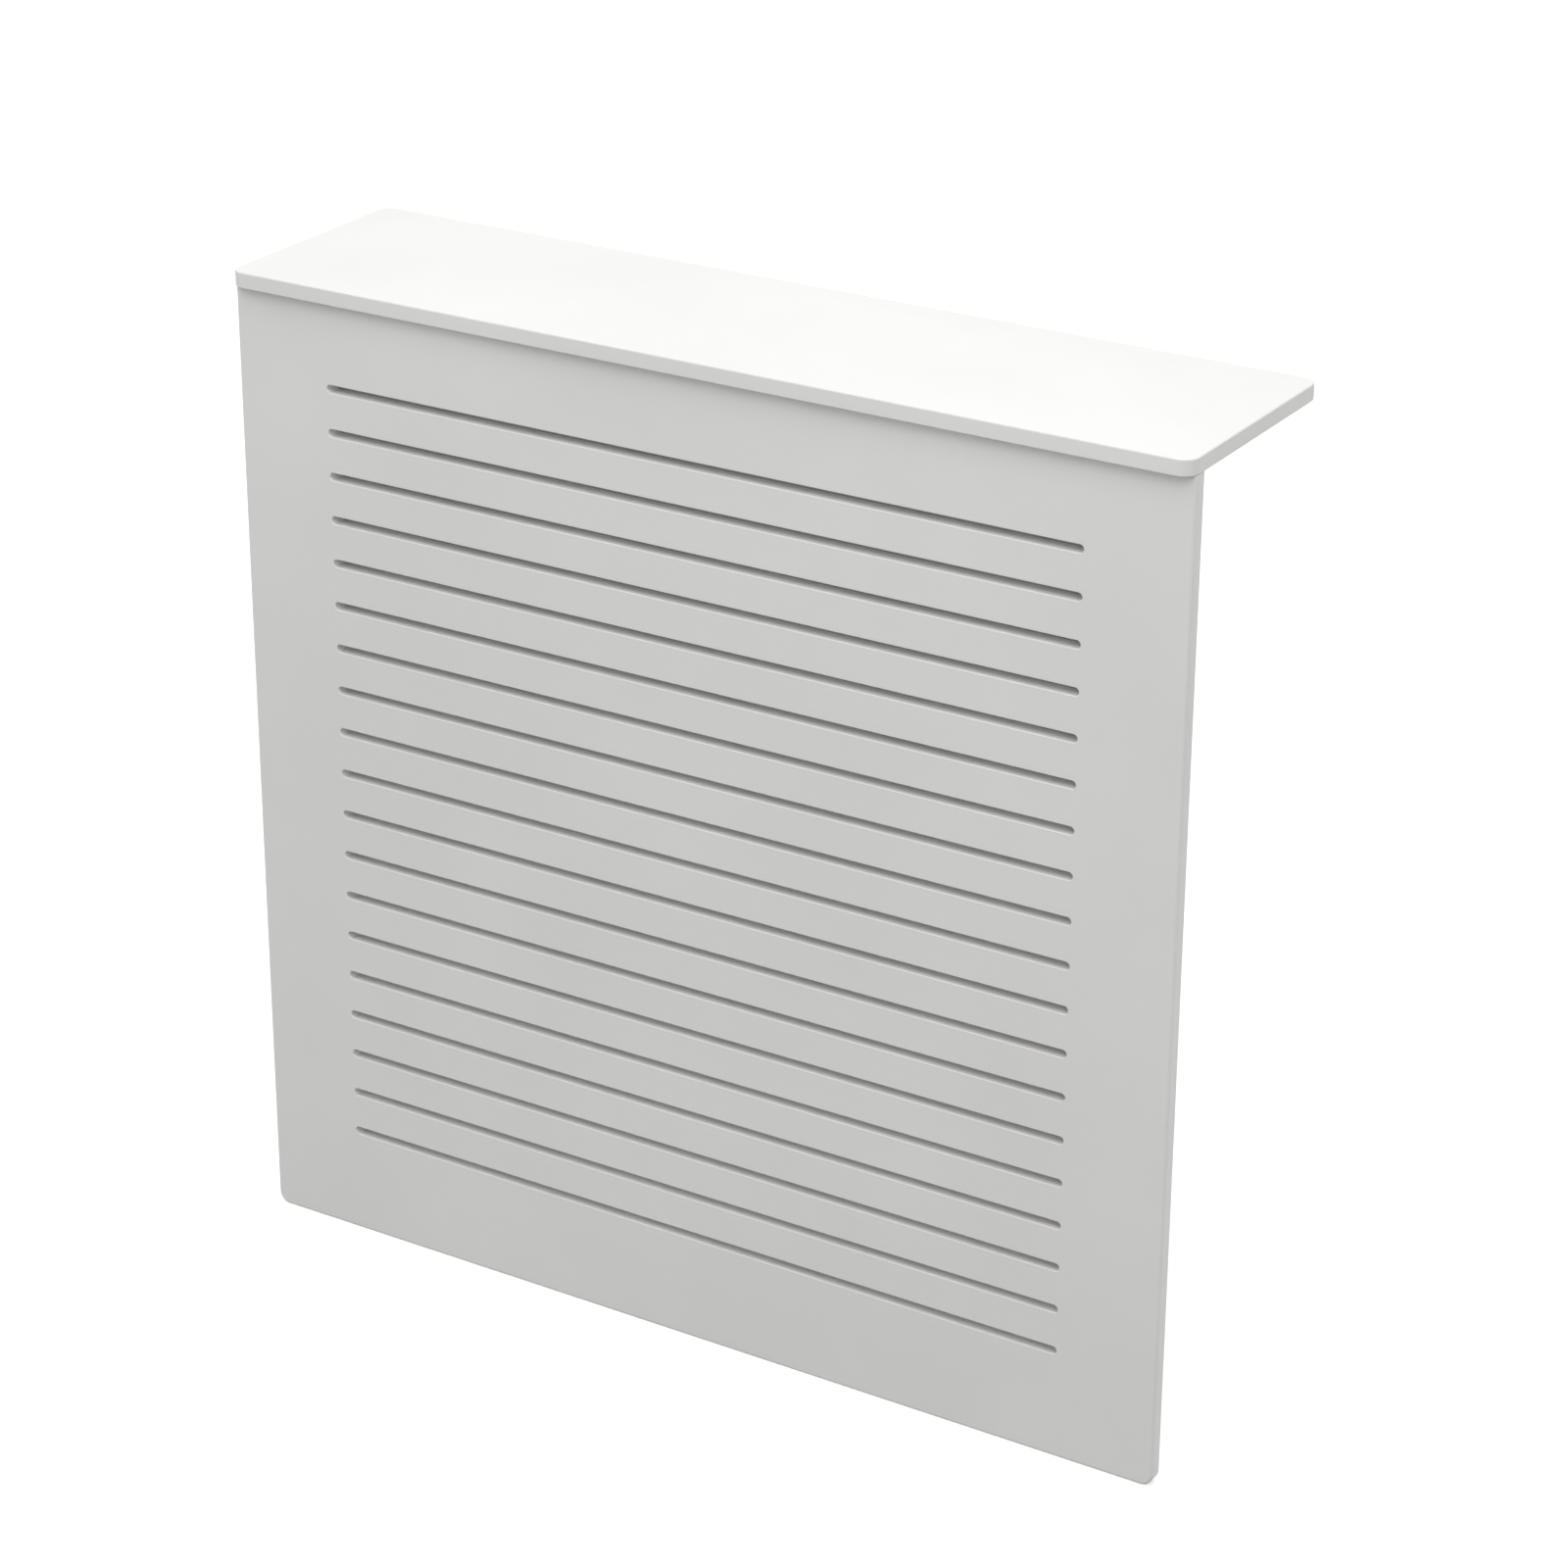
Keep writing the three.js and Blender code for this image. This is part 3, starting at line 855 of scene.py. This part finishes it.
# %% [markdown]
# ## Dowels
#
# Three beech dowels line the shelf up with the panel before the braces are screwed on.
# Real ones are fluted, so that glue and air can get out of the hole, and their ends are
# chamfered to find it. A cylinder gives both: every third line along its side is drawn
# in towards the axis, and its two rims are bevelled.

# %% Dowel
DOWEL_RADIUS = 4 * MM
DOWEL_CHAMFER = 1 * MM
DOWEL_SIDES = 48
FLUTE_FLOOR = 0.93  # a flute's radius, as a share of the dowel's

dowel = cylinder(
    "dowel_pattern", DOWEL_RADIUS, (0, 0, -DOWEL_IN_PANEL), (0, 0, DOWEL_IN_BOARD), DOWEL_SIDES
)


def on_flute(point):
    side = math.atan2(point.y, point.x) / math.tau * DOWEL_SIDES
    return near(side / 3, round(side / 3), 0.05)


pick_edges(dowel, lambda a, b: near(a.x, b.x) and near(a.y, b.y) and on_flute(a))
bpy.ops.transform.resize(value=(FLUTE_FLOOR, FLUTE_FLOOR, 1), center_override=(0, 0, 0))
leave_bench()
pick_edges(dowel, lambda a, b: near(a.z, b.z))
bpy.ops.mesh.bevel(offset=DOWEL_CHAMFER, segments=2, affect="EDGES")
leave_bench()
smooth(dowel, math.radians(50))
report(dowel)

# %% [markdown]
# ## Put together
#
# Every copy gets its own mesh and goes where the measured part has its piece. A place is
# read from that piece's box, never typed in again. The cross recesses end up at whatever
# angle the screwdriver left them, so each screw is given its own turn.

# %% Place the copies
def copy_to(pattern, name, location, turn=(0, 0, 0), spin=0.0):
    """A copy with its own mesh, spun about Z, then turned and moved."""
    hold(pattern)
    bpy.ops.object.duplicate(linked=False)
    twin = bpy.context.object
    twin.name = name
    twin.rotation_euler = (0, 0, spin)
    settle(twin)
    twin.rotation_euler = turn
    twin.location = location
    return settle(twin)


stands_for = {shelf: "top_board", panel: "front_panel"}
shelf.name = "top_board_eased"
panel.name = "front_panel_slotted"
QUARTER = math.radians(90)
HALF_TURN = math.radians(180)
SPIN_STEP = 2.4

for count, node in enumerate(sorted(frame["nodes"])):
    low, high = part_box(node)
    middle = (low + high) / 2
    if node.startswith("dowel"):
        place = (middle.x, middle.y, UNDERSIDE_Z)
        stands_for[copy_to(dowel, node + "_fluted", place, spin=count * SPIN_STEP)] = node
    elif "panel_screw" in node:
        place = (middle.x, high.y - HEAD_HEIGHT, middle.z)
        twin = copy_to(screw, node + "_threaded", place, (QUARTER, 0, 0), count * SPIN_STEP)
        stands_for[twin] = node
    elif "screw" in node:
        place = (middle.x, middle.y, low.z + HEAD_HEIGHT)
        twin = copy_to(screw, node + "_threaded", place, spin=count * SPIN_STEP)
        stands_for[twin] = node
    elif node.startswith("corner_brace"):
        place = (middle.x, low.y, high.z)
        stands_for[copy_to(brace, node + "_pressed", place)] = node
    elif node.startswith("wall_bracket"):
        place = (middle.x, high.y, high.z)
        stands_for[copy_to(bracket, node + "_pressed", place, (0, 0, HALF_TURN))] = node
for pattern in (brace, bracket, screw, dowel):
    bpy.data.objects.remove(pattern)
print("pieces:", len(stands_for), "of", len(frame["nodes"]), "nodes")

# %% [markdown]
# ## Finishes
#
# Four finishes are on this cover: white lacquer on fibreboard, white powder coat on
# steel, bright zinc plate, and bare beech. Several of them share an effect. Paint that
# is sprayed dries with a faint orange-peel skin, and every eased edge wears and holds
# paint differently from the flat. Such an effect is a node group with named sockets,
# built once, so that each finish sets its own strength.

# %% Helpers for nodes
def put(tree, kind, sockets=None, **settings):
    """Adds a node, sets it up and joins or fills its sockets."""
    node = tree.nodes.new("ShaderNode" + kind)
    for name, value in settings.items():
        setattr(node, name, value)
    for name, value in (sockets or {}).items():
        if isinstance(value, bpy.types.NodeSocket):
            tree.links.new(value, node.inputs[name])
        else:
            node.inputs[name].default_value = value
    return node


def effect_group(name, inputs, outputs):
    """An empty node group with number sockets: its tree, what it is given, what it gives."""
    tree = bpy.data.node_groups.new(name, "ShaderNodeTree")
    number = "NodeSocketFloat"
    for label, value in inputs:
        socket = tree.interface.new_socket(name=label, in_out="INPUT", socket_type=number)
        socket.default_value = value
    for label in outputs:
        tree.interface.new_socket(name=label, in_out="OUTPUT", socket_type=number)
    given = tree.nodes.new("NodeGroupInput").outputs
    return tree, given, tree.nodes.new("NodeGroupOutput").inputs


def scaled(tree, value, factor, offset=0.0):
    """value * factor + offset, where both may be numbers or sockets."""
    node = put(tree, "Math", operation="MULTIPLY_ADD")
    for socket, part in zip(node.inputs, (value, factor, offset)):
        if isinstance(part, bpy.types.NodeSocket):
            tree.links.new(part, socket)
        else:
            socket.default_value = part
    return node.outputs[0]


print("node helpers ready")

# %% [markdown]
# Sprayed paint: droplets flow together and leave a skin of low, soft bumps about a
# millimetre across, and the film is a trifle thicker in some places than in others. The
# group puts out the skin's height, for a Bump node, and a slow cloud from 0 to 1.

# %% Shared effect: sprayed skin
spray, given, result = effect_group(
    "sprayed_skin", [("Grain per metre", 900.0), ("Cloud per metre", 6.0)], ["Height", "Cloud"]
)
where = put(spray, "TexCoord").outputs["Object"]
fine = put(spray, "TexNoise", {"Vector": where, "Scale": given["Grain per metre"], "Detail": 2.0})
coarse_scale = scaled(spray, given["Grain per metre"], 0.3)
coarse = put(spray, "TexNoise", {"Vector": where, "Scale": coarse_scale, "Detail": 1.0})
cloud = put(spray, "TexNoise", {"Vector": where, "Scale": given["Cloud per metre"], "Detail": 3.0})
spray.links.new(scaled(spray, fine.outputs["Fac"], 0.6, coarse.outputs["Fac"]), result["Height"])
spread = put(
    spray, "MapRange", {"Value": cloud.outputs["Fac"], "From Min": 0.35, "From Max": 0.65}
)
spray.links.new(spread.outputs["Result"], result["Cloud"])
print("groups:", [g.name for g in bpy.data.node_groups])

# %% [markdown]
# Edges: where a face is rounded over, paint draws back and hands and cloths rub first.
# The rounded faces are the ones that look in no main direction, so they are marked in
# the mesh once, as an attribute, and the group breaks that mark up with a little noise.

# %% Shared effect: eased edges
def mark_edges(piece):
    """Gives each face the number 1 where it is rounded or chamfered, and 0 where flat."""
    mark = piece.data.attributes.new("eased", "FLOAT", "FACE")
    values = [float(max(map(abs, face.normal)) < 0.995) for face in piece.data.polygons]
    mark.data.foreach_set("value", values)
    return sum(values)


edges, given, result = effect_group(
    "eased_edges", [("Amount", 0.5), ("Break up per metre", 60.0)], ["Mask"]
)
mark = put(edges, "Attribute", attribute_name="eased").outputs["Fac"]
where = put(edges, "TexCoord").outputs["Object"]
breaks = put(
    edges, "TexNoise", {"Vector": where, "Scale": given["Break up per metre"], "Detail": 4.0}
)
patches = put(
    edges, "MapRange", {"Value": breaks.outputs["Fac"], "From Min": 0.3, "From Max": 0.7}
)
strength = scaled(edges, patches.outputs["Result"], given["Amount"])
edges.links.new(scaled(edges, strength, mark), result["Mask"])
marked = sum(mark_edges(piece) for piece in stands_for)
print("rounded faces marked:", int(marked))

# %% [markdown]
# Dust: it settles on what faces up, in faint patches, and nowhere else. The group asks
# how far the surface looks up, so the same effect serves a shelf and the ledge of a slot.

# %% Shared effect: settled dust
dust, given, result = effect_group(
    "settled_dust", [("Amount", 0.1), ("Patches per metre", 14.0)], ["Mask"]
)
facing = put(dust, "SeparateXYZ", {"Vector": put(dust, "NewGeometry").outputs["Normal"]})
upward = put(dust, "MapRange", {"Value": facing.outputs["Z"], "From Min": 0.6, "From Max": 0.95})
where = put(dust, "TexCoord").outputs["Object"]
patches = put(
    dust, "TexNoise", {"Vector": where, "Scale": given["Patches per metre"], "Detail": 6.0}
)
strength = scaled(dust, patches.outputs["Fac"], given["Amount"])
dust.links.new(scaled(dust, strength, upward.outputs["Result"]), result["Mask"])
print("groups:", [g.name for g in bpy.data.node_groups])

# %% [markdown]
# A finish then layers colours by those masks. The Principled shader stays in the
# material itself. What is the same all over a surface, such as how metallic it is, is
# set on the shader's own socket.

# %% Helpers for finishes
def new_finish(name):
    finish = bpy.data.materials.new(name)
    finish.use_nodes = True
    return finish.node_tree, finish.node_tree.nodes["Principled BSDF"], finish


def use_effect(tree, group, **sockets):
    node = put(tree, "Group", node_tree=group)
    for name, value in sockets.items():
        node.inputs[name.replace("_", " ").capitalize()].default_value = value
    return node.outputs


def layered(tree, under, over, mask):
    """One colour over another by a mask. Colours are triples or sockets."""
    node = put(tree, "Mix", data_type="RGBA", clamp_factor=True)
    for name, colour in (("A", under), ("B", over)):
        if isinstance(colour, bpy.types.NodeSocket):
            tree.links.new(colour, node.inputs[name])
        else:
            node.inputs[name].default_value = (*colour, 1)
    tree.links.new(mask, node.inputs["Factor"])
    return node.outputs["Result"]


def bumped(tree, shader, height, strength, depth):
    bump = put(tree, "Bump", {"Height": height, "Strength": strength, "Distance": depth})
    tree.links.new(bump.outputs["Normal"], shader.inputs["Normal"])


print("finish helpers ready")

# %% [markdown]
# White lacquer: a satin white with a trace of warmth, sanded and sprayed twice. It is
# very even, with a hardly visible cloudiness, an orange-peel skin that only shows in a
# reflection, and eased edges where the film is thinner, so the primer greys it a little.

# %% White lacquer
LACQUER = (0.872, 0.87, 0.853)
LACQUER_CLOUD = (0.848, 0.846, 0.829)
LACQUER_EDGE = (0.80, 0.80, 0.79)
LACQUER_DUST = (0.70, 0.69, 0.67)

tree, shader, white_lacquer = new_finish("white_lacquer")
skin = use_effect(tree, spray, grain_per_metre=800.0, cloud_per_metre=5.0)
edge = use_effect(tree, edges, amount=0.45, break_up_per_metre=70.0)["Mask"]
dusty = use_effect(tree, dust, amount=0.06, patches_per_metre=18.0)["Mask"]
colour = layered(tree, LACQUER, LACQUER_CLOUD, skin["Cloud"])
colour = layered(tree, colour, LACQUER_EDGE, edge)
tree.links.new(layered(tree, colour, LACQUER_DUST, dusty), shader.inputs["Base Color"])
gloss = scaled(tree, skin["Cloud"], 0.05, 0.40)
gloss = scaled(tree, edge, 0.15, gloss)
tree.links.new(scaled(tree, dusty, 1.0, gloss), shader.inputs["Roughness"])
bumped(tree, shader, skin["Height"], 0.12, 0.15 * MM)
print(white_lacquer.name, len(tree.nodes), "nodes")

# %% [markdown]
# White powder coat: baked on as a powder, so its skin is rougher and finer than
# lacquer's, and it chips to a grey primer on the sheet's edges instead of thinning.

# %% White powder coat
POWDER = (0.82, 0.82, 0.81)
POWDER_CLOUD = (0.79, 0.79, 0.785)
POWDER_CHIP = (0.52, 0.52, 0.53)

tree, shader, powder_coat = new_finish("white_powder_coat")
skin = use_effect(tree, spray, grain_per_metre=2200.0, cloud_per_metre=30.0)
edge = use_effect(tree, edges, amount=0.35, break_up_per_metre=400.0)["Mask"]
colour = layered(tree, POWDER, POWDER_CLOUD, skin["Cloud"])
tree.links.new(layered(tree, colour, POWDER_CHIP, edge), shader.inputs["Base Color"])
tree.links.new(scaled(tree, skin["Cloud"], 0.08, 0.5), shader.inputs["Roughness"])
bumped(tree, shader, skin["Height"], 0.35, 0.15 * MM)
print(powder_coat.name, len(tree.nodes), "nodes")

# %% [markdown]
# Bright zinc plate: a bluish silver with soft blotches, over steel that still shows the
# fine lines of the roll it was flattened by. A noise that is stretched along one axis
# gives those lines. Edges are rubbed brighter and smoother.

# %% Bright zinc plate
ZINC = (0.62, 0.64, 0.67)
ZINC_BLOTCH = (0.52, 0.53, 0.54)
ZINC_RUBBED = (0.80, 0.81, 0.82)

tree, shader, zinc_plate = new_finish("bright_zinc")
where = put(tree, "TexCoord").outputs["Object"]
along_roll = put(tree, "Mapping", {"Vector": where, "Scale": (3000.0, 90.0, 90.0)})
lines = put(tree, "TexNoise", {"Vector": along_roll.outputs[0], "Scale": 1.0, "Detail": 3.0})
blotches = put(tree, "TexNoise", {"Vector": where, "Scale": 160.0, "Detail": 4.0})
spread = put(
    tree, "MapRange", {"Value": blotches.outputs["Fac"], "From Min": 0.35, "From Max": 0.65}
)
blotch = spread.outputs["Result"]
edge = use_effect(tree, edges, amount=0.8, break_up_per_metre=500.0)["Mask"]
dusty = use_effect(tree, dust, amount=0.15, patches_per_metre=150.0)["Mask"]
colour = layered(tree, ZINC, ZINC_BLOTCH, blotch)
colour = layered(tree, colour, ZINC_RUBBED, edge)
tree.links.new(layered(tree, colour, LACQUER_DUST, dusty), shader.inputs["Base Color"])
shader.inputs["Metallic"].default_value = 1.0
gloss = scaled(tree, blotch, 0.12, 0.27)
gloss = scaled(tree, lines.outputs["Fac"], 0.1, gloss)
tree.links.new(scaled(tree, edge, -0.12, gloss), shader.inputs["Roughness"])
bumped(tree, shader, lines.outputs["Fac"], 0.2, 0.03 * MM)
print(zinc_plate.name, len(tree.nodes), "nodes")

# %% [markdown]
# Beech: pale pinkish brown, with a fine straight grain along the dowel and the short
# dark flecks that tell beech from other pale woods. Both are noises that are stretched
# along the axis, one long and soft, one short and sharp.

# %% Bare beech
BEECH = (0.68, 0.52, 0.33)
BEECH_GRAIN = (0.55, 0.38, 0.22)
BEECH_FLECK = (0.36, 0.22, 0.12)

tree, shader, bare_beech = new_finish("bare_beech")
where = put(tree, "TexCoord").outputs["Object"]
grain_way = put(tree, "Mapping", {"Vector": where, "Scale": (1200.0, 1200.0, 60.0)})
grain = put(tree, "TexNoise", {"Vector": grain_way.outputs[0], "Scale": 1.0, "Detail": 4.0})
fleck_way = put(tree, "Mapping", {"Vector": where, "Scale": (3500.0, 3500.0, 500.0)})
flecks = put(tree, "TexNoise", {"Vector": fleck_way.outputs[0], "Scale": 1.0, "Detail": 1.0})
fleck_mask = put(
    tree, "MapRange", {"Value": flecks.outputs["Fac"], "From Min": 0.62, "From Max": 0.7}
)
colour = layered(tree, BEECH, BEECH_GRAIN, grain.outputs["Fac"])
colour = layered(tree, colour, BEECH_FLECK, fleck_mask.outputs["Result"])
tree.links.new(colour, shader.inputs["Base Color"])
tree.links.new(scaled(tree, grain.outputs["Fac"], 0.2, 0.6), shader.inputs["Roughness"])
bumped(tree, shader, grain.outputs["Fac"], 0.4, 0.08 * MM)
print(bare_beech.name, len(tree.nodes), "nodes")

# %% [markdown]
# Last, each piece gets its finish, is said to stand for its measured node, and rides on
# the cover's one body. The finish's slot is the record's name for it.

# %% Dress the pieces
FINISHES = {
    "white_lacquer": white_lacquer,
    "white_powder_coat": powder_coat,
    "zinc_plate": zinc_plate,
    "beech": bare_beech,
}
slot_of = {part["node"]: part["material_slot"] for part in frame["record"]["subparts"]}

for piece, node in stands_for.items():
    piece.data.materials.clear()
    piece.data.materials.append(FINISHES[slot_of[node]])
    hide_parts(node)
    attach(piece, "root")
for slot, finish in FINISHES.items():
    print(slot, sum(slot_of[node] == slot for node in stands_for.values()), "pieces")
